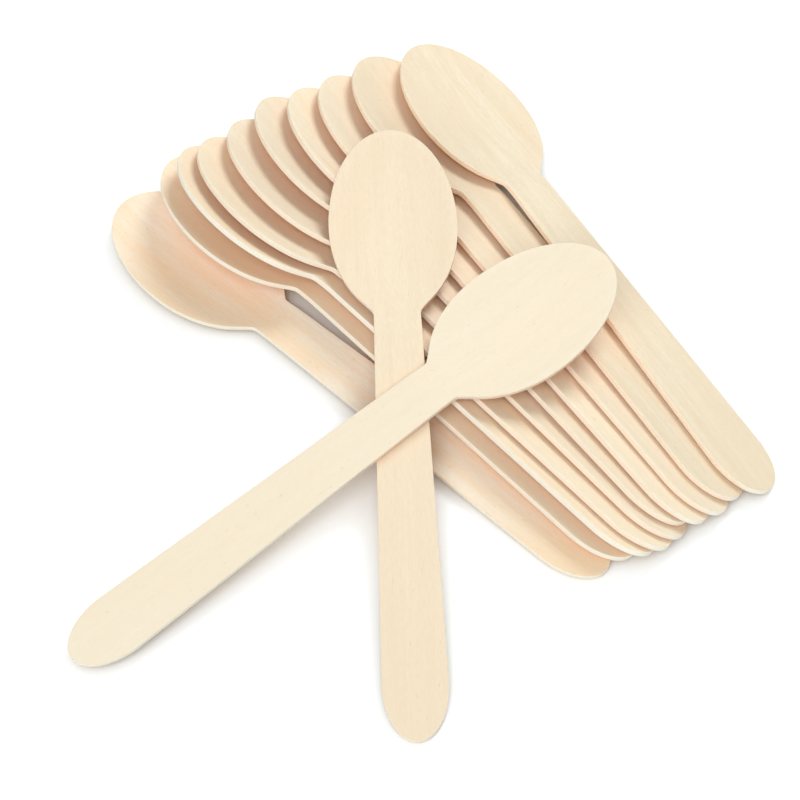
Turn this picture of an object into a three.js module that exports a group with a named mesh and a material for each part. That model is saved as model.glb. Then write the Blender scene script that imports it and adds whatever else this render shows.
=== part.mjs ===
// A pack of disposable wooden spoons, spread in a fan with two more laid across it.
// Millimetres, +Z up, +X to the viewer's right, +Y away from the viewer, the table at Z = 0.
// Every spoon is the same piece of pressed veneer. Only its place on the table and its heading are
// given: how high it lies and how it tilts follow from what is underneath it.

import * as THREE from "three";
import { mergeVertices } from "three/addons/utils/BufferGeometryUtils.js";

// One spoon.
const SPOON_LENGTH = 160;
const VENEER_THICKNESS = 1.4;
const BOWL_WIDTH = 32;
const BOWL_FRONT = 28; // widest place of the bowl to its tip
const BOWL_BACK = 25; // widest place of the bowl to the back of its oval
const BOWL_DEPTH = 2.4;
const RIM_EASE = 0.25; // share of the depth over which the hollow's edge is rounded
const SCOOP_RUNOUT = 4; // how far the hollow runs past the oval, into the neck
const NECK_WIDTH = 11.4;
const NECK_EASE = 3.5; // how widely the two corners at the neck are rounded out
const HANDLE_END_WIDTH = 15;
const HANDLE_END_ROUND = 13; // length of the rounded end of the handle
const TIP_FLAT = 0.15; // the rounding starts this far in, so that both tips are short flats

// How the spoons lie.
const REST_GAP = 0.3; // between a spoon and what it lies on
const MOST_LEAN = 26; // degrees, the steepest that a spoon of the fan leans over its neighbour
const MOST_SLOPE = 0.3; // steepest slope that is tried for a spoon at rest

// Where the middle of each spoon is, counted in steps of a grid on the table, and the way from its
// handle to its bowl, in degrees from +X.
const GRID_STEP = 0.5;
const FAN = [
  { x: -24, y: 11, heading: 138 },
  { x: -5, y: 25, heading: 134.5 },
  { x: 4, y: 25, heading: 134.5 },
  { x: 13, y: 29, heading: 134 },
  { x: 24, y: 39, heading: 132 },
  { x: 32, y: 51, heading: 129 },
  { x: 45, y: 55, heading: 127 },
  { x: 58, y: 63, heading: 125.5 },
  { x: 71, y: 75, heading: 123 },
  { x: 92, y: 83, heading: 120.5 },
];
const CROSSED_LOWER = { x: 1, y: -22, heading: 92.5 };
const CROSSED_UPPER = { x: -23, y: -42, heading: 39 };

// Pale birch: the fan is a little warmer than the two spoons on top.
const FAN_COLOUR = "#efd9b4";
const CROSSED_COLOUR = "#f8e8cb";
const WOOD_ROUGHNESS = 0.65;

// How finely a spoon is divided, and how closely it is tried against its neighbours.
const END_STEPS = 4;
const HANDLE_STEPS = 3;
const NECK_STEPS = 4;
const BACK_STEPS = 4;
const FRONT_STEPS = 6;
const STEPS_ACROSS = 6;
const PROBES_ALONG = 80;
const PROBES_ACROSS = 8;
const HEIGHT_TRIES = 4;
const SLOPE_TRIES = 18;
const LEAN_TRIES = 10;

// Stations along a spoon, measured from the end of its handle.
const WIDEST = SPOON_LENGTH - BOWL_FRONT;
const NECK = WIDEST - BOWL_BACK * Math.sqrt(1 - (NECK_WIDTH / BOWL_WIDTH) ** 2);
const NECK_START = NECK - NECK_EASE;
const NECK_STOP = NECK + NECK_EASE;

/** Half the width of the bowl's oval, without the handle. */
function ovalHalfWidth(along) {
  const reach = along < WIDEST ? BOWL_BACK : BOWL_FRONT;
  const across = 1 - ((along - WIDEST) / reach) ** 2;
  return (BOWL_WIDTH / 2) * Math.sqrt(Math.max(across, 0));
}

/** Half the width of the handle, which narrows from its rounded end to the neck. */
function handleHalfWidth(along) {
  if (along > NECK) return NECK_WIDTH / 2;
  const share = Math.max(along - HANDLE_END_ROUND, 0) / (NECK - HANDLE_END_ROUND);
  const straight = THREE.MathUtils.lerp(HANDLE_END_WIDTH, NECK_WIDTH, share) / 2;
  const inRound = Math.max(HANDLE_END_ROUND - along, 0) / HANDLE_END_ROUND;
  return straight * Math.sqrt(1 - inRound ** 2);
}

/** Half the width of the spoon: the wider of handle and bowl, with the corner between them eased. */
function halfWidth(along) {
  const inside = THREE.MathUtils.clamp(along, TIP_FLAT, SPOON_LENGTH - TIP_FLAT);
  const bowl = ovalHalfWidth(inside);
  if (inside > WIDEST) return bowl;
  const handle = handleHalfWidth(inside);
  const overlap = Math.max(NECK_EASE - Math.abs(bowl - handle), 0);
  return Math.max(bowl, handle) + overlap ** 2 / (4 * NECK_EASE);
}

/** How far the pressed hollow lies under the flat of the handle. */
function hollow(along, across) {
  const reach = along < WIDEST ? BOWL_BACK + SCOOP_RUNOUT : BOWL_FRONT;
  const inside = 1 - ((along - WIDEST) / reach) ** 2 - (across / (BOWL_WIDTH / 2)) ** 2;
  if (inside <= -RIM_EASE) return 0;
  if (inside < RIM_EASE) return (BOWL_DEPTH * (inside + RIM_EASE) ** 2) / (4 * RIM_EASE);
  return BOWL_DEPTH * inside;
}

/** Stations from the end of the handle to the tip of the bowl, closer together where it curves. */
function stations() {
  const quarter = Math.PI / 2;
  const list = [];
  for (let i = 0; i < END_STEPS; i += 1) {
    list.push(HANDLE_END_ROUND * (1 - Math.cos((quarter * i) / END_STEPS)));
  }
  for (let i = 0; i < HANDLE_STEPS; i += 1) {
    list.push(THREE.MathUtils.lerp(HANDLE_END_ROUND, NECK_START, i / HANDLE_STEPS));
  }
  for (let i = 0; i < NECK_STEPS; i += 1) {
    list.push(THREE.MathUtils.lerp(NECK_START, NECK_STOP, i / NECK_STEPS));
  }
  const backTurn = Math.asin((WIDEST - NECK_STOP) / BOWL_BACK);
  for (let i = 0; i < BACK_STEPS; i += 1) {
    list.push(WIDEST - BOWL_BACK * Math.sin(backTurn * (1 - i / BACK_STEPS)));
  }
  for (let i = 0; i <= FRONT_STEPS; i += 1) {
    list.push(WIDEST + BOWL_FRONT * Math.sin((quarter * i) / FRONT_STEPS));
  }
  return list;
}

/** Height of the upper or lower face in the spoon's own frame, where the handle's top is at 0. */
function faceLevel(along, across, isTop) {
  return -hollow(along, across) - (isTop ? 0 : VENEER_THICKNESS);
}

/** A point on one face, in the spoon's own frame: X runs from its middle to its bowl. */
function onFace(along, across, isTop) {
  return new THREE.Vector3(along - SPOON_LENGTH / 2, across, faceLevel(along, across, isTop));
}

/** The spoon as a closed mesh: a divided block, bent to the outline and the hollow. */
function spoonGeometry() {
  const along = stations();
  const steps = along.length - 1;
  const block = new THREE.BoxGeometry(1, 2, 1, steps, STEPS_ACROSS, 1);
  const points = block.attributes.position;
  for (let i = 0; i < points.count; i += 1) {
    const station = along[Math.round((points.getX(i) + 0.5) * steps)];
    const bent = onFace(station, points.getY(i) * halfWidth(station), points.getZ(i) > 0);
    points.setXYZ(i, bent.x, bent.y, bent.z);
  }
  block.deleteAttribute("normal");
  block.deleteAttribute("uv");
  const closed = mergeVertices(block);
  closed.computeVertexNormals();
  return closed;
}

/** Points spread over one face, where a spoon is tried against its neighbours. */
function probes(isTop) {
  const list = [];
  for (let i = 0; i <= PROBES_ALONG; i += 1) {
    const along = (SPOON_LENGTH * i) / PROBES_ALONG;
    for (let j = 0; j <= PROBES_ACROSS; j += 1) {
      list.push(onFace(along, halfWidth(along) * ((2 * j) / PROBES_ACROSS - 1), isTop));
    }
  }
  return list;
}

const TOP_PROBES = probes(true);
const BOTTOM_PROBES = probes(false);

/** How far the balance point lies from the middle of the spoon towards its bowl. */
function balancePoint() {
  let area = 0;
  let moment = 0;
  for (let i = 0; i <= PROBES_ALONG; i += 1) {
    const along = (SPOON_LENGTH * i) / PROBES_ALONG;
    area += halfWidth(along);
    moment += halfWidth(along) * (along - SPOON_LENGTH / 2);
  }
  return moment / area;
}

const BALANCE = balancePoint();

/** The frame of a spoon at a place, with the slopes that it has along and across. */
function frameAt(place, slopes, height) {
  const along = new THREE.Vector3(1, 0, slopes.along).normalize();
  const up = new THREE.Vector3(-slopes.along, -slopes.across, 1).normalize();
  const across = new THREE.Vector3().crossVectors(up, along);
  const turn = new THREE.Matrix4().makeRotationZ(THREE.MathUtils.degToRad(place.heading));
  const frame = turn.multiply(new THREE.Matrix4().makeBasis(along, across, up));
  return frame.setPosition(place.x * GRID_STEP, place.y * GRID_STEP, height);
}

/** Height of a spoon's upper or lower face over a point of the table, or null beside the spoon. */
function faceHeight(inverse, x, y, isTop) {
  const e = inverse.elements;
  const footAlong = e[0] * x + e[4] * y + e[12] + SPOON_LENGTH / 2;
  const footAcross = e[1] * x + e[5] * y + e[13];
  const footLevel = e[2] * x + e[6] * y + e[14];
  if (Math.abs(footAcross) > BOWL_WIDTH) return null;
  let height = 0;
  let along = footAlong;
  let across = footAcross;
  for (let i = 0; i < HEIGHT_TRIES; i += 1) {
    height = (faceLevel(along, across, isTop) - footLevel) / e[10];
    along = footAlong + height * e[8];
    across = footAcross + height * e[9];
  }
  const isBeside = along < 0 || along > SPOON_LENGTH || Math.abs(across) > halfWidth(along);
  return isBeside ? null : height;
}

/** How high a spoon's middle comes to lie when it is let down at these slopes. */
function letDown(place, slopes, below, onTable) {
  const frame = frameAt(place, slopes, 0);
  const inverse = frame.clone().invert();
  const point = new THREE.Vector3();
  let height = -SPOON_LENGTH;
  for (const probe of BOTTOM_PROBES) {
    point.copy(probe).applyMatrix4(frame);
    if (onTable) height = Math.max(height, -point.z);
    for (const spoon of below) {
      const top = faceHeight(spoon.inverse, point.x, point.y, true);
      if (top !== null) height = Math.max(height, top + REST_GAP - point.z);
    }
  }
  for (const spoon of below) {
    for (const top of spoon.tops) {
      const bottom = faceHeight(inverse, top.x, top.y, false);
      if (bottom !== null) height = Math.max(height, top.z + REST_GAP - bottom);
    }
  }
  return height;
}

/** The value between two limits at which a cost with one valley is lowest, by golden sections. */
function lowest(cost, from, to) {
  const golden = (Math.sqrt(5) - 1) / 2;
  let [low, high] = [from, to];
  let left = high - golden * (high - low);
  let right = low + golden * (high - low);
  let [costLeft, costRight] = [cost(left), cost(right)];
  for (let i = 0; i < SLOPE_TRIES; i += 1) {
    if (costLeft < costRight) {
      [high, right, costRight] = [right, left, costLeft];
      left = high - golden * (high - low);
      costLeft = cost(left);
    } else {
      [low, left, costLeft] = [left, right, costRight];
      right = low + golden * (high - low);
      costRight = cost(right);
    }
  }
  return (low + high) / 2;
}

/** How high the balance point of a spoon lies when it is let down at these slopes. */
function balanceHeight(place, slopes, below, onTable) {
  return letDown(place, slopes, below, onTable) + slopes.along * BALANCE;
}

/** The slopes of a spoon that leans by a given slope across and rests freely along its length. */
function slopesLeaning(place, across, below, onTable) {
  const cost = (along) => balanceHeight(place, { along, across }, below, onTable);
  return { along: lowest(cost, -MOST_SLOPE, MOST_SLOPE), across };
}

/** A spoon that is set down by itself tilts both ways until its balance point lies lowest. */
function slopesAtRest(place, below) {
  const cost = (across) => {
    const slopes = slopesLeaning(place, across, below, true);
    return balanceHeight(place, slopes, below, true);
  };
  return slopesLeaning(place, lowest(cost, -MOST_SLOPE, MOST_SLOPE), below, true);
}

/** A spoon of the fan leans over the ones before it until its far edge meets the table. */
function slopesInFan(place, below) {
  let low = 0;
  let high = Math.tan(THREE.MathUtils.degToRad(MOST_LEAN));
  for (let i = 0; i < LEAN_TRIES; i += 1) {
    const slopes = slopesLeaning(place, (low + high) / 2, below, false);
    const frame = frameAt(place, slopes, letDown(place, slopes, below, false));
    const isClear = BOTTOM_PROBES.every((probe) => probe.clone().applyMatrix4(frame).z > 0);
    if (isClear) low = slopes.across;
    else high = slopes.across;
  }
  return slopesLeaning(place, high, below, true);
}

const pack = new THREE.Group();
const spoon = spoonGeometry();
const laid = [];

/** Lays one more spoon on those that lie there already. */
function layDown(name, place, slopesFor, colour) {
  const slopes = slopesFor(place, laid);
  const frame = frameAt(place, slopes, letDown(place, slopes, laid, true));
  const wood = new THREE.MeshStandardMaterial({ color: colour, roughness: WOOD_ROUGHNESS, metalness: 0 });
  const mesh = new THREE.Mesh(spoon, wood);
  mesh.name = name;
  mesh.position.setFromMatrixPosition(frame);
  mesh.quaternion.setFromRotationMatrix(frame);
  pack.add(mesh);
  const tops = TOP_PROBES.map((probe) => probe.clone().applyMatrix4(frame));
  laid.push({ inverse: frame.clone().invert(), tops });
}

FAN.forEach((place, i) => {
  const name = `fan_spoon_${String(i + 1).padStart(2, "0")}`;
  layDown(name, place, i === 0 ? slopesAtRest : slopesInFan, FAN_COLOUR);
});
layDown("crossed_spoon_lower", CROSSED_LOWER, slopesAtRest, CROSSED_COLOUR);
layDown("crossed_spoon_upper", CROSSED_UPPER, slopesAtRest, CROSSED_COLOUR);

// The origin is the middle of the pack's footprint, on the table.
const middle = new THREE.Box3().setFromObject(pack, true).getCenter(new THREE.Vector3());
pack.position.set(-middle.x, -middle.y, 0);

export default pack;
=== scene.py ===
"""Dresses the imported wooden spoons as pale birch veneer, on a white table in soft light.

Each spoon is shaped again from the sizes that its solid has, finely enough for a smooth outline and
a softened cut edge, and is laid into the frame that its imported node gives. One veneer pattern runs
through every spoon in the spoon's own millimetres, and each spoon is cut from another place of it.
"""

import logging
import math
from dataclasses import dataclass, field
from enum import Enum

import bmesh
import bpy
import numpy as np
from mathutils import Matrix, Vector


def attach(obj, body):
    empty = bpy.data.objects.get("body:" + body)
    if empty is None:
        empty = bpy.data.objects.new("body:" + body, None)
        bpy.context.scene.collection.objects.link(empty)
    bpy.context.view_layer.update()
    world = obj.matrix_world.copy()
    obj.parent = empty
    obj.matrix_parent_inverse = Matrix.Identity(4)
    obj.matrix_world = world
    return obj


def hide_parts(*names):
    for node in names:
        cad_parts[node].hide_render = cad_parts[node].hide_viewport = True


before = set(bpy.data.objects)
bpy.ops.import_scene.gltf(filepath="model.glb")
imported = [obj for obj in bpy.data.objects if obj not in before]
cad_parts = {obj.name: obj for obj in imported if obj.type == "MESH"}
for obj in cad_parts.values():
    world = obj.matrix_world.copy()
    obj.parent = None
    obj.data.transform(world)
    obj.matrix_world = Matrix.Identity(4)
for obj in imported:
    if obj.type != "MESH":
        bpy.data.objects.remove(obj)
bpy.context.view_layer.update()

log = logging.getLogger("spoons")

MM = 0.001
PLACE_LAYER = "veneer_place"
EDGE_LAYER = "cut_edge"

Pair = tuple[float, float]
Triple = tuple[float, float, float]
Colour = tuple[float, float, float, float]
Socket = bpy.types.NodeSocket

WHITE: Colour = (1.0, 1.0, 1.0, 1.0)


def screen_colour(code: str) -> Colour:
    """Turns a screen colour into the linear one that a shader takes.

    Args:
        code: Six hexadecimal digits, red first.

    Returns:
        The linear colour, opaque.
    """
    shares = [int(code[i : i + 2], 16) / 255 for i in (0, 2, 4)]
    linear = [s / 12.92 if s <= 0.04045 else ((s + 0.055) / 1.055) ** 2.4 for s in shares]
    return (linear[0], linear[1], linear[2], 1.0)


class Wiring:
    """Adds nodes to one node tree and joins them."""

    def __init__(self, tree: bpy.types.NodeTree) -> None:
        """Keeps the tree that is wired."""
        self.tree = tree

    def add(self, kind: str, **settings: object) -> bpy.types.Node:
        """Adds a node.

        Args:
            kind: The node's type name.
            **settings: Properties of the node to set.

        Returns:
            The new node.
        """
        node = self.tree.nodes.new(kind)
        for name, value in settings.items():
            setattr(node, name, value)
        return node

    def feed(self, socket: Socket, source: object) -> None:
        """Gives an input either a link or a plain value.

        Args:
            socket: The input.
            source: An output socket, or a value to set.
        """
        if isinstance(source, Socket):
            self.tree.links.new(source, socket)
        else:
            socket.default_value = source

    def math(self, operation: str, *values: object, clamp: bool = False) -> Socket:
        """Adds a Math node.

        Args:
            operation: The node's operation.
            *values: Its inputs, as sockets or numbers.
            clamp: Whether the result is kept from 0 to 1.

        Returns:
            The result.
        """
        node = self.add("ShaderNodeMath", operation=operation, use_clamp=clamp)
        for socket, value in zip(node.inputs, values):
            self.feed(socket, value)
        return node.outputs[0]

    def spread(self, value: Socket, limits: Pair, to: Pair = (0.0, 1.0)) -> Socket:
        """Maps a range of values smoothly onto another.

        Args:
            value: The socket to map.
            limits: The values that become the first and the last of the new range.
            to: The new range.

        Returns:
            The mapped value.
        """
        node = self.add("ShaderNodeMapRange", interpolation_type="SMOOTHSTEP")
        for name, number in zip(("From Min", "From Max", "To Min", "To Max"), (*limits, *to)):
            node.inputs[name].default_value = number
        self.feed(node.inputs["Value"], value)
        return node.outputs["Result"]

    def stretched(self, place: Socket, factors: Pair) -> Socket:
        """Scales a place along the grain and across it.

        Args:
            place: The place, in millimetres.
            factors: The factor along the grain, and the one across it both ways.

        Returns:
            The scaled place.
        """
        along, across = factors
        node = self.add("ShaderNodeVectorMath", operation="MULTIPLY")
        self.feed(node.inputs[0], place)
        node.inputs[1].default_value = (along, across, across)
        return node.outputs["Vector"]

    def noise(self, place: Socket, detail: float, roughness: float = 0.55) -> bpy.types.Node:
        """Adds a noise that is read at a scaled place.

        Args:
            place: Where it is read.
            detail: How many finer layers it has.
            roughness: How strong the finer layers are.

        Returns:
            The noise node.
        """
        node = self.add("ShaderNodeTexNoise", noise_dimensions="3D")
        self.feed(node.inputs["Vector"], place)
        node.inputs["Scale"].default_value = 1.0
        node.inputs["Detail"].default_value = detail
        node.inputs["Roughness"].default_value = roughness
        return node

    def blended(self, share: object, first: object, second: object) -> Socket:
        """Mixes two colours.

        Args:
            share: How much of the second shows.
            first: A colour or colour socket.
            second: A colour or colour socket.

        Returns:
            The mixed colour.
        """
        node = self.add("ShaderNodeMix", data_type="RGBA")
        self.feed(node.inputs[0], share)
        self.feed(node.inputs[6], first)
        self.feed(node.inputs[7], second)
        return node.outputs[2]


class EffectGroup:
    """A shader node group for an effect that several materials use."""

    def __init__(self, name: str, outputs: tuple[str, ...]) -> None:
        """Makes the group, with a place in the veneer as its input.

        Args:
            name: The group's name.
            outputs: Names of the values that it puts out.
        """
        self.tree = bpy.data.node_groups.new(name, "ShaderNodeTree")
        self.tree.interface.new_socket("Place", in_out="INPUT", socket_type="NodeSocketVector")
        for output in outputs:
            self.tree.interface.new_socket(output, in_out="OUTPUT", socket_type="NodeSocketFloat")
        self.wiring = Wiring(self.tree)
        self.place = self.wiring.add("NodeGroupInput").outputs["Place"]
        self.ending = self.wiring.add("NodeGroupOutput")

    def put_out(self, name: str, value: Socket) -> None:
        """Joins a value to one of the group's outputs."""
        self.wiring.feed(self.ending.inputs[name], value)


@dataclass(frozen=True)
class VeneerGrain:
    """The veneer's pattern: factors along and across the grain, and the ranges that show."""

    sway_scale: Pair = (0.012, 0.05)
    sway_reach: Triple = (0.0, 5.0, 2.0)
    streak_scale: Pair = (0.02, 0.85)
    streak_range: Pair = (0.36, 0.66)
    band_scale: Pair = (0.07, 1.0)
    band_width: float = 0.055
    band_distortion: float = 9.0
    band_detail: float = 2.0
    band_detail_scale: float = 0.6
    drift_scale: Pair = (0.014, 0.04)
    drift_range: Pair = (0.36, 0.64)
    fleck_scale: Pair = (0.4, 2.2)
    fleck_chance: Pair = (0.14, 0.0)
    fleck_reach: Pair = (0.26, 0.12)
    fibre_scale: Pair = (0.5, 2.4)
    fibre_range: Pair = (0.3, 0.7)
    torn_scale: Pair = (1.3, 1.3)
    layer_scale: Pair = (0.08, 4.0)
    cut_range: Pair = (0.35, 0.65)

    def swayed(self, group: EffectGroup) -> Socket:
        """Lets the grain wander from side to side.

        Args:
            group: The group that reads it.

        Returns:
            The place in the veneer, moved aside.
        """
        w = group.wiring
        sway = w.noise(w.stretched(group.place, self.sway_scale), detail=1.0)
        aside = w.add("ShaderNodeVectorMath", operation="MULTIPLY_ADD")
        w.feed(aside.inputs[0], sway.outputs["Color"])
        aside.inputs[1].default_value = self.sway_reach
        w.feed(aside.inputs[2], group.place)
        return aside.outputs["Vector"]

    def bands(self, w: Wiring, place: Socket) -> Socket:
        """Draws the broad bands of the wood's yearly growth.

        Args:
            w: The wiring of the group.
            place: Where they are read.

        Returns:
            The bands, from 0 to 1.
        """
        node = w.add("ShaderNodeTexWave", wave_type="BANDS", bands_direction="Y")
        w.feed(node.inputs["Vector"], w.stretched(place, self.band_scale))
        node.inputs["Scale"].default_value = self.band_width
        node.inputs["Distortion"].default_value = self.band_distortion
        node.inputs["Detail"].default_value = self.band_detail
        node.inputs["Detail Scale"].default_value = self.band_detail_scale
        return node.outputs["Fac"]

    def flecks(self, w: Wiring, place: Socket) -> Socket:
        """Strews short flecks, in a few of the cells that the veneer is divided into.

        Args:
            w: The wiring of the group.
            place: Where they are read.

        Returns:
            The flecks, from 0 to 1.
        """
        cells = w.add("ShaderNodeTexVoronoi", voronoi_dimensions="3D", feature="F1")
        w.feed(cells.inputs["Vector"], w.stretched(place, self.fleck_scale))
        cells.inputs["Scale"].default_value = 1.0
        picked = w.add("ShaderNodeSeparateColor")
        w.feed(picked.inputs["Color"], cells.outputs["Color"])
        chosen = w.spread(picked.outputs["Red"], self.fleck_chance)
        small = w.spread(cells.outputs["Distance"], self.fleck_reach)
        return w.math("MULTIPLY", chosen, small)

    def figure_group(self) -> bpy.types.NodeTree:
        """Makes the group for the figure: streaks, broad bands, drift of tone, flecks and fibre.

        Returns:
            The node group.
        """
        group = EffectGroup("veneer_figure", ("Streaks", "Bands", "Drift", "Flecks", "Fibre"))
        w = group.wiring
        swayed = self.swayed(group)
        streaks = w.noise(w.stretched(swayed, self.streak_scale), detail=5.0, roughness=0.62)
        group.put_out("Streaks", w.spread(streaks.outputs["Fac"], self.streak_range))
        group.put_out("Bands", self.bands(w, swayed))
        drift = w.noise(w.stretched(group.place, self.drift_scale), detail=2.0)
        group.put_out("Drift", w.spread(drift.outputs["Fac"], self.drift_range))
        group.put_out("Flecks", self.flecks(w, swayed))
        fibre = w.noise(w.stretched(swayed, self.fibre_scale), detail=3.0, roughness=0.6)
        group.put_out("Fibre", w.spread(fibre.outputs["Fac"], self.fibre_range))
        return group.tree

    def cut_group(self) -> bpy.types.NodeTree:
        """Makes the group for the die-cut edge: torn fibre ends in fine layers.

        Returns:
            The node group.
        """
        group = EffectGroup("cut_grain", ("Torn", "Layers"))
        w = group.wiring
        torn = w.noise(w.stretched(group.place, self.torn_scale), detail=3.0, roughness=0.6)
        group.put_out("Torn", w.spread(torn.outputs["Fac"], self.cut_range))
        layers = w.noise(w.stretched(group.place, self.layer_scale), detail=2.0)
        group.put_out("Layers", w.spread(layers.outputs["Fac"], self.cut_range))
        return group.tree


class Figure(Enum):
    """How strongly the wood's figure shows, as (streaks, bands, drift, flecks, fibre)."""

    QUIET = (0.14, 0.08, 0.45, 0.22, 0.30)
    PLAIN = (0.18, 0.12, 0.45, 0.26, 0.30)
    LIVELY = (0.22, 0.18, 0.60, 0.30, 0.26)


@dataclass(frozen=True)
class VeneerFinish:
    """One tone of bare birch veneer: its colours, the warmer colour painted into the shade it passes
    on, how they mix, and how smooth it is.
    """

    name: str
    light: str
    dark: str
    blush: str
    edge: str
    fleck: str = "a77a52"
    figure: Figure = Figure.PLAIN
    # Painted shade tint: the colour shown only to diffuse rays, which reddens the shade between
    # spoons.
    painted_shade_tint: str = "f0b870"
    layer_share: float = 0.15
    roughness: Pair = (0.52, 0.68)
    shine: float = 0.3
    grain_height: float = 0.05
    grain_strength: float = 0.35
    torn_height: float = 2.0

    def face_tone(self, w: Wiring, face: bpy.types.Node) -> Socket:
        """Mixes the colour of the broad faces.

        Args:
            w: The wiring of the material.
            face: The node of the veneer's figure.

        Returns:
            The colour.
        """
        streaks, bands, drift, flecks, fibre = self.figure.value
        darker = w.math("MULTIPLY", face.outputs["Streaks"], streaks)
        darker = w.math("MULTIPLY_ADD", face.outputs["Bands"], bands, darker)
        darker = w.math("MULTIPLY_ADD", face.outputs["Fibre"], fibre, darker)
        tone = w.blended(darker, screen_colour(self.light), screen_colour(self.dark))
        drifting = w.math("MULTIPLY", face.outputs["Drift"], drift)
        tone = w.blended(drifting, tone, screen_colour(self.blush))
        flecked = w.math("MULTIPLY", face.outputs["Flecks"], flecks)
        return w.blended(flecked, tone, screen_colour(self.fleck))

    def relief(self, w: Wiring, height: Socket) -> Socket:
        """Makes the fine relief of the grain.

        Args:
            w: The wiring of the material.
            height: How high the surface lies.

        Returns:
            The surface's normal.
        """
        bump = w.add("ShaderNodeBump")
        bump.inputs["Strength"].default_value = self.grain_strength
        bump.inputs["Distance"].default_value = self.grain_height * MM
        w.feed(bump.inputs["Height"], height)
        return bump.outputs["Normal"]

    def material(self, figure: bpy.types.NodeTree, edge: bpy.types.NodeTree) -> bpy.types.Material:
        """Makes the material.

        Args:
            figure: The group for the veneer's figure.
            edge: The group for its cut edge.

        Returns:
            The material.
        """
        material = bpy.data.materials.new(self.name)
        material.use_nodes = True
        w = Wiring(material.node_tree)
        wood = material.node_tree.nodes["Principled BSDF"]
        place = w.add("ShaderNodeAttribute", attribute_name=PLACE_LAYER).outputs["Vector"]
        is_cut = w.add("ShaderNodeAttribute", attribute_name=EDGE_LAYER).outputs["Fac"]
        face = w.add("ShaderNodeGroup", node_tree=figure)
        w.feed(face.inputs["Place"], place)
        cut = w.add("ShaderNodeGroup", node_tree=edge)
        w.feed(cut.inputs["Place"], place)
        layers = w.math("MULTIPLY", cut.outputs["Layers"], self.layer_share)
        rim = w.blended(layers, screen_colour(self.edge), screen_colour(self.dark))
        seen = w.blended(is_cut, self.face_tone(w, face), rim)
        # Painted shade: for diffuse rays the veneer shows a warmer colour, so the light it passes on
        # to the next spoon tints the shade between them reddish.
        passed_on = w.add("ShaderNodeLightPath").outputs["Is Diffuse Ray"]
        w.feed(wood.inputs["Base Color"], w.blended(passed_on, seen, screen_colour(self.painted_shade_tint)))
        rough = w.spread(face.outputs["Streaks"], (0.0, 1.0), self.roughness)
        w.feed(wood.inputs["Roughness"], rough)
        wood.inputs["Specular IOR Level"].default_value = self.shine
        torn = w.math("MULTIPLY", cut.outputs["Torn"], is_cut)
        height = w.math("MULTIPLY_ADD", torn, self.torn_height, face.outputs["Fibre"])
        w.feed(wood.inputs["Normal"], self.relief(w, height))
        return material


@dataclass(frozen=True)
class SpoonSizes:
    """Sizes of one spoon in millimetres, as its solid has them, and how soft its cut edge is."""

    length: float = 160.0
    thickness: float = 1.4
    bowl_width: float = 32.0
    bowl_front: float = 28.0
    bowl_back: float = 25.0
    bowl_depth: float = 2.4
    rim_ease: float = 0.25
    scoop_runout: float = 4.0
    neck_width: float = 11.4
    neck_ease: float = 3.5
    end_width: float = 15.0
    end_round: float = 13.0
    edge_soft: float = 0.22

    @property
    def widest(self) -> float:
        """Station of the bowl's widest place, from the end of the handle."""
        return self.length - self.bowl_front

    @property
    def neck(self) -> float:
        """Station at which the handle meets the bowl's oval."""
        share = self.neck_width / self.bowl_width
        return self.widest - self.bowl_back * math.sqrt(1 - share**2)


@dataclass(frozen=True)
class Column:
    """A line of points across a spoon: its stations on the middle line and at the outline."""

    middle: float
    outer: float


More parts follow.
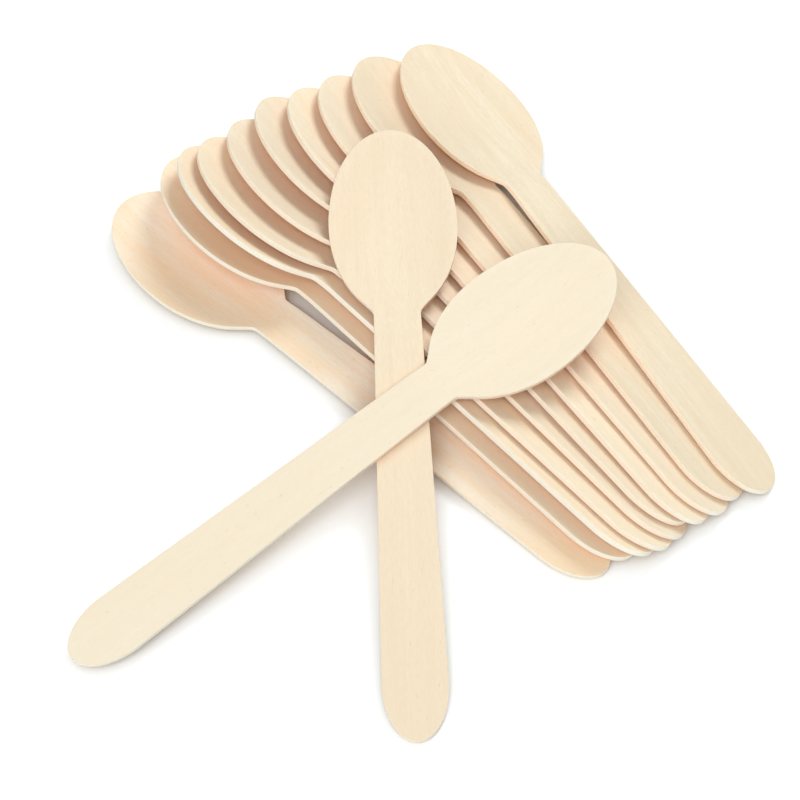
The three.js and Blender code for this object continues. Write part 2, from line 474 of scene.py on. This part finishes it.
class SpoonForm:
    """The outline and the pressed hollow of a spoon, in its own frame and in millimetres."""

    END_COLUMNS = 9
    HANDLE_COLUMNS = 18
    NECK_COLUMNS = 16
    BACK_COLUMNS = 14
    FRONT_COLUMNS = 16
    ROWS = 16
    CORNER = math.radians(48)
    ROW_CROWDING = 0.12

    def __init__(self, sizes: SpoonSizes) -> None:
        """Keeps the sizes."""
        self.sizes = sizes

    def half_width(self, along: float) -> float:
        """Half the spoon's width at a station.

        Args:
            along: The station, from the end of the handle.

        Returns:
            Half the width: the wider of handle and bowl, with the corner between them eased.
        """
        s = self.sizes
        reach = s.bowl_back if along < s.widest else s.bowl_front
        bowl = s.bowl_width / 2 * math.sqrt(max(1 - ((along - s.widest) / reach) ** 2, 0))
        if along > s.widest:
            return bowl
        share = min(max(along - s.end_round, 0) / (s.neck - s.end_round), 1)
        straight = (s.end_width + (s.neck_width - s.end_width) * share) / 2
        in_round = max(s.end_round - along, 0) / s.end_round
        handle = straight * math.sqrt(max(1 - in_round**2, 0))
        overlap = max(s.neck_ease - abs(bowl - handle), 0)
        return max(bowl, handle) + overlap**2 / (4 * s.neck_ease)

    def hollow(self, along: float, across: float) -> float:
        """How far the pressed hollow lies under the flat of the handle.

        Args:
            along: Station from the end of the handle.
            across: Distance from the middle line.

        Returns:
            The depth.
        """
        s = self.sizes
        reach = s.bowl_back + s.scoop_runout if along < s.widest else s.bowl_front
        inside = 1 - ((along - s.widest) / reach) ** 2 - (across / (s.bowl_width / 2)) ** 2
        if inside <= -s.rim_ease:
            return 0.0
        if inside < s.rim_ease:
            return s.bowl_depth * (inside + s.rim_ease) ** 2 / (4 * s.rim_ease)
        return s.bowl_depth * inside

    def columns(self) -> list[Column]:
        """Lays out the lines of points, straight in the middle and bowed round both ends.

        Returns:
            The columns from the end of the handle to the tip of the bowl.
        """
        s = self.sizes
        quarter = math.pi / 2
        found = []
        for i in range(self.END_COLUMNS):
            share = i / self.END_COLUMNS
            turn = self.CORNER + (quarter - self.CORNER) * share
            found.append(Column(s.end_round * share, s.end_round * (1 - math.cos(turn))))
        turn_in = s.neck - 2 * s.neck_ease
        turn_out = s.neck + 2 * s.neck_ease
        for i in range(self.HANDLE_COLUMNS):
            straight = s.end_round + (turn_in - s.end_round) * i / self.HANDLE_COLUMNS
            found.append(Column(straight, straight))
        for i in range(self.NECK_COLUMNS):
            straight = turn_in + (turn_out - turn_in) * i / self.NECK_COLUMNS
            found.append(Column(straight, straight))
        back_turn = math.asin((s.widest - turn_out) / s.bowl_back)
        for i in range(self.BACK_COLUMNS):
            straight = s.widest - s.bowl_back * math.sin(back_turn * (1 - i / self.BACK_COLUMNS))
            found.append(Column(straight, straight))
        for i in range(self.FRONT_COLUMNS + 1):
            share = i / self.FRONT_COLUMNS
            turn = (quarter - self.CORNER) * share
            outer = s.widest + s.bowl_front * math.sin(turn)
            found.append(Column(s.widest + s.bowl_front * share, outer))
        return found

    def point(self, column: Column, share: float) -> Vector:
        """A point of the upper face.

        Args:
            column: The column that it lies on.
            share: How far across it lies, from -1 to 1.

        Returns:
            The point, with X from the spoon's middle towards its bowl.
        """
        crowded = share * (1 + self.ROW_CROWDING * (1 - share * share))
        bow = 1 - math.sqrt(1 - (crowded * math.sin(self.CORNER)) ** 2)
        along = column.middle + (column.outer - column.middle) * bow / (1 - math.cos(self.CORNER))
        across = crowded * self.half_width(column.outer)
        return Vector((along - self.sizes.length / 2, across, -self.hollow(along, across)))


@dataclass
class VeneerSpoon:
    """One spoon: where it lies, its tone, and the place of the veneer that it was cut from."""

    node: str
    finish: VeneerFinish
    cut_from: Triple
    sizes: SpoonSizes = field(default_factory=SpoonSizes)

    SHARP = math.radians(50)
    SIDE_STEEPNESS = 0.8
    SOFT_STEPS = 3
    END_REACH = 0.5 * MM

    def resting_frame(self) -> Matrix:
        """Reads the spoon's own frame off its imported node.

        Returns:
            The frame, with X from handle to bowl, Z out of the hollow, and its origin halfway.
        """
        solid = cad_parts[self.node].data
        flat = max(solid.polygons, key=lambda polygon: polygon.area).normal
        up = Vector(flat if flat.z > 0 else -flat)
        points = np.unique([tuple(v.co) for v in solid.vertices], axis=0)
        axis = np.linalg.svd(points - points.mean(0), full_matrices=False)[2][0]
        spread = points @ axis
        if np.median(spread) < np.ptp(spread) / 2 + spread.min():
            spread = -spread
        end = points[spread < spread.min() + self.END_REACH]
        tip = points[spread > spread.max() - self.END_REACH]
        along = Vector(tip.mean(0) - end.mean(0))
        along = (along - up * along.dot(up)).normalized()
        top = Vector(end.mean(0)) + up * (self.sizes.thickness * MM / 2)
        middle = top + along * (self.sizes.length * MM / 2)
        turned = Matrix((along, up.cross(along), up)).transposed().to_4x4()
        return Matrix.Translation(middle) @ turned

    def shaped(self) -> bmesh.types.BMesh:
        """Shapes the spoon in its own frame, as a sheet that is bent, thickened and softened.

        Returns:
            The closed shape, in millimetres.
        """
        form = SpoonForm(self.sizes)
        columns = form.columns()
        steps = len(columns) - 1
        bm = bmesh.new()
        bmesh.ops.create_grid(bm, x_segments=steps, y_segments=form.ROWS, size=0.5)
        for vert in bm.verts:
            vert.co = form.point(columns[round((vert.co.x + 0.5) * steps)], 2 * vert.co.y)
        sheet = bmesh.ops.extrude_face_region(bm, geom=bm.faces[:])
        under = [item for item in sheet["geom"] if isinstance(item, bmesh.types.BMVert)]
        bmesh.ops.translate(bm, verts=under, vec=(0, 0, -self.sizes.thickness))
        bmesh.ops.recalc_face_normals(bm, faces=bm.faces[:])
        rim = [edge for edge in bm.edges if edge.calc_face_angle(0.0) > self.SHARP]
        bmesh.ops.bevel(
            bm,
            geom=rim,
            offset=self.sizes.edge_soft,
            offset_type="OFFSET",
            segments=self.SOFT_STEPS,
            profile=0.5,
            affect="EDGES",
            material=-1,
            clamp_overlap=True,
        )
        return bm

    def build(self, material: bpy.types.Material) -> bpy.types.Object:
        """Makes the spoon where its node lies, and lets it stand for the node.

        Args:
            material: The veneer's material.

        Returns:
            The finished piece.
        """
        bm = self.shaped()
        bm.normal_update()
        place = bm.verts.layers.float_vector.new(PLACE_LAYER)
        cut = bm.faces.layers.float.new(EDGE_LAYER)
        for vert in bm.verts:
            vert[place] = vert.co + Vector(self.cut_from)
        for face in bm.faces:
            face[cut] = 1.0 if abs(face.normal.z) < self.SIDE_STEEPNESS else 0.0
            face.smooth = True
        laid = self.resting_frame() @ Matrix.Scale(MM, 4)
        bmesh.ops.transform(bm, matrix=laid, verts=bm.verts[:])
        name = f"veneer_{self.node}"
        mesh = bpy.data.meshes.new(name)
        bm.to_mesh(mesh)
        bm.free()
        mesh.materials.append(material)
        piece = bpy.data.objects.new(name, mesh)
        bpy.context.scene.collection.objects.link(piece)
        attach(piece, "root")
        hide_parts(self.node)
        log.info("%s: %d faces, %s", name, len(mesh.polygons), self.finish.name)
        return piece


# The tones of the spoons, each with its light, dark, blush and edge colour.
# PEACH is partly the first fan spoon's own warmer tone and partly painted warm shade: its dark and
# blush are more orange to stand for the shade in its bowl.
PEACH = VeneerFinish("birch_peach", "fffaea", "fadfb8", "ffdeae", "fff9e9", figure=Figure.LIVELY)
HONEY = VeneerFinish("birch_honey", "fff6de", "f4deb6", "fae8c6", "fffaea")
ROSE = VeneerFinish("birch_rose", "f8efd8", "f0dcb8", "f7e4c4", "fffaea")
IVORY = VeneerFinish("birch_ivory", "f4e9d0", "e4d2ac", "f0dab9", "fffaea")
LINEN = VeneerFinish("birch_linen", "f9ebd0", "ecd6b3", "f5dfc2", "fef6e5", figure=Figure.QUIET)
CREAM = VeneerFinish("birch_cream", "faf1da", "f0e0bf", "f7e8ce", "fef7e6", figure=Figure.QUIET)


@dataclass
class SpoonFan:
    """The ten spoons that lie in a fan, each leaning over the one before it."""

    finishes: tuple[VeneerFinish, ...] = (
        *(PEACH, HONEY, HONEY, HONEY, ROSE),
        *(ROSE, HONEY, ROSE, IVORY, IVORY),
    )
    first_cut: Triple = (6200.0, 940.0, 0.0)
    next_cut: Triple = (310.0, 47.0, 9.0)

    def spoons(self) -> list[VeneerSpoon]:
        """Lists the fan's spoons, each cut from its own place of the veneer."""
        first, step = Vector(self.first_cut), Vector(self.next_cut)
        return [
            VeneerSpoon(f"fan_spoon_{i + 1:02d}", finish, tuple(first + step * i))
            for i, finish in enumerate(self.finishes)
        ]


@dataclass
class CrossedPair:
    """The two spoons that are laid crosswise over the fan."""

    lower: VeneerFinish = LINEN
    upper: VeneerFinish = CREAM
    lower_cut: Triple = (-420.0, 33.0, 5.0)
    upper_cut: Triple = (-910.0, -61.0, 13.0)

    def spoons(self) -> list[VeneerSpoon]:
        """Lists the lower spoon and the upper one."""
        return [
            VeneerSpoon("crossed_spoon_lower", self.lower, self.lower_cut),
            VeneerSpoon("crossed_spoon_upper", self.upper, self.upper_cut),
        ]


@dataclass
class Studio:
    """A white table, a soft key lamp from behind, a wide fill from the front, and the camera."""

    floor_size: float = 1.1
    floor_tone: str = "eaf2f4"
    floor_roughness: float = 0.9
    floor_lift: float = 0.36
    # Reach, range and samples of the occlusion that fades the floor's glow into painted contact
    # shade.
    contact_reach: float = 20 * MM
    contact_range: Pair = (0.2, 0.85)
    contact_samples: int = 16
    sky_level: float = 0.27
    key_place: Triple = (0.36, 0.68, 0.592)
    key_size: float = 0.44
    key_watts: float = 4.6
    fill_place: Triple = (-0.56, -1.5, 1.784)
    fill_size: float = 2.4
    fill_watts: float = 43.2
    aim: Triple = (-7.307 * MM, -10.624 * MM, 0.0)
    elevation: float = 56.5
    distance: float = 481 * MM
    focal_pixels: float = 1969.0
    image_pixels: float = 800.0
    sensor: float = 36.0
    nearest_seen: float = 10 * MM

    def seen_ray(self, w: Wiring) -> Socket:
        """A value of 1 for rays that show a surface directly, in a reflection or through glass."""
        path = w.add("ShaderNodeLightPath").outputs
        mirrored = w.math("MAXIMUM", path["Is Glossy Ray"], path["Is Transmission Ray"])
        return w.math("MAXIMUM", path["Is Camera Ray"], mirrored)

    def floor(self) -> None:
        """Makes the pale table, which keeps the spoons' shadows and has painted contact shade close
        to them.
        """
        bm = bmesh.new()
        bmesh.ops.create_grid(bm, x_segments=2, y_segments=2, size=self.floor_size / 2)
        mesh = bpy.data.meshes.new("floor")
        bm.to_mesh(mesh)
        bm.free()
        material = bpy.data.materials.new("white_table")
        material.use_nodes = True
        w = Wiring(material.node_tree)
        paint = material.node_tree.nodes["Principled BSDF"]
        paint.inputs["Base Color"].default_value = screen_colour(self.floor_tone)
        paint.inputs["Roughness"].default_value = self.floor_roughness
        paint.inputs["Specular IOR Level"].default_value = 0.0
        paint.inputs["Emission Color"].default_value = WHITE
        # Painted contact shade: the table glows white for seen rays where it is open, and the glow
        # fades by ambient occlusion close to a spoon or under one, so it stays darker there.
        occlusion = w.add("ShaderNodeAmbientOcclusion", samples=self.contact_samples)
        occlusion.inputs["Distance"].default_value = self.contact_reach
        lift = w.spread(occlusion.outputs["AO"], self.contact_range, (0.0, self.floor_lift))
        w.feed(paint.inputs["Emission Strength"], w.math("MULTIPLY", self.seen_ray(w), lift))
        mesh.materials.append(material)
        table = bpy.data.objects.new("floor", mesh)
        bpy.context.scene.collection.objects.link(table)

    def sky(self) -> None:
        """Sets an even white surrounding, plain white where it is seen."""
        world = bpy.data.worlds.new("surrounding")
        world.use_nodes = True
        bpy.context.scene.world = world
        w = Wiring(world.node_tree)
        even = world.node_tree.nodes["Background"]
        even.inputs["Color"].default_value = WHITE
        level = w.math("MULTIPLY_ADD", self.seen_ray(w), 1.0 - self.sky_level, self.sky_level)
        w.feed(even.inputs["Strength"], level)

    def lamp(self, name: str, place: Triple, size: float, watts: float) -> None:
        """Hangs a round soft lamp that points at the middle of the table.

        Args:
            name: The lamp's name.
            place: Where it hangs.
            size: Its width.
            watts: Its strength.
        """
        light = bpy.data.lights.new(name, "AREA")
        light.shape = "DISK"
        light.size = size
        light.energy = watts
        lamp = bpy.data.objects.new(name, light)
        lamp.location = place
        lamp.rotation_euler = (-Vector(place)).to_track_quat("-Z", "Y").to_euler()
        bpy.context.scene.collection.objects.link(lamp)
        log.info("%s: %.1f W", name, watts)

    def camera(self) -> None:
        """Sets the camera at the angle from which the spoons are seen."""
        lens = bpy.data.cameras.new("camera")
        lens.sensor_width = self.sensor
        lens.lens = self.sensor * self.focal_pixels / self.image_pixels
        lens.clip_start = self.nearest_seen
        eye = bpy.data.objects.new("camera", lens)
        lift = math.radians(self.elevation)
        back = Vector((0.0, -math.cos(lift), math.sin(lift)))
        eye.location = Vector(self.aim) + back * self.distance
        eye.rotation_euler = (-back).to_track_quat("-Z", "Y").to_euler()
        bpy.context.scene.collection.objects.link(eye)
        bpy.context.scene.camera = eye

    def build(self) -> None:
        """Sets up everything around the spoons."""
        self.camera()
        self.floor()
        self.sky()
        self.lamp("soft_key", self.key_place, self.key_size, self.key_watts)
        self.lamp("soft_fill", self.fill_place, self.fill_size, self.fill_watts)
        bpy.context.scene.view_settings.view_transform = "Standard"
        log.info("studio: camera at %.1f degrees", self.elevation)


def main() -> None:
    """Builds the studio and the spoons."""
    logging.basicConfig(level=logging.INFO, format="%(name)s: %(message)s")
    Studio().build()
    grain = VeneerGrain()
    figure, edge = grain.figure_group(), grain.cut_group()
    materials: dict[str, bpy.types.Material] = {}
    for spoon in SpoonFan().spoons() + CrossedPair().spoons():
        finish = spoon.finish
        if finish.name not in materials:
            materials[finish.name] = finish.material(figure, edge)
        spoon.build(materials[finish.name])


if __name__ == "__main__":
    main()
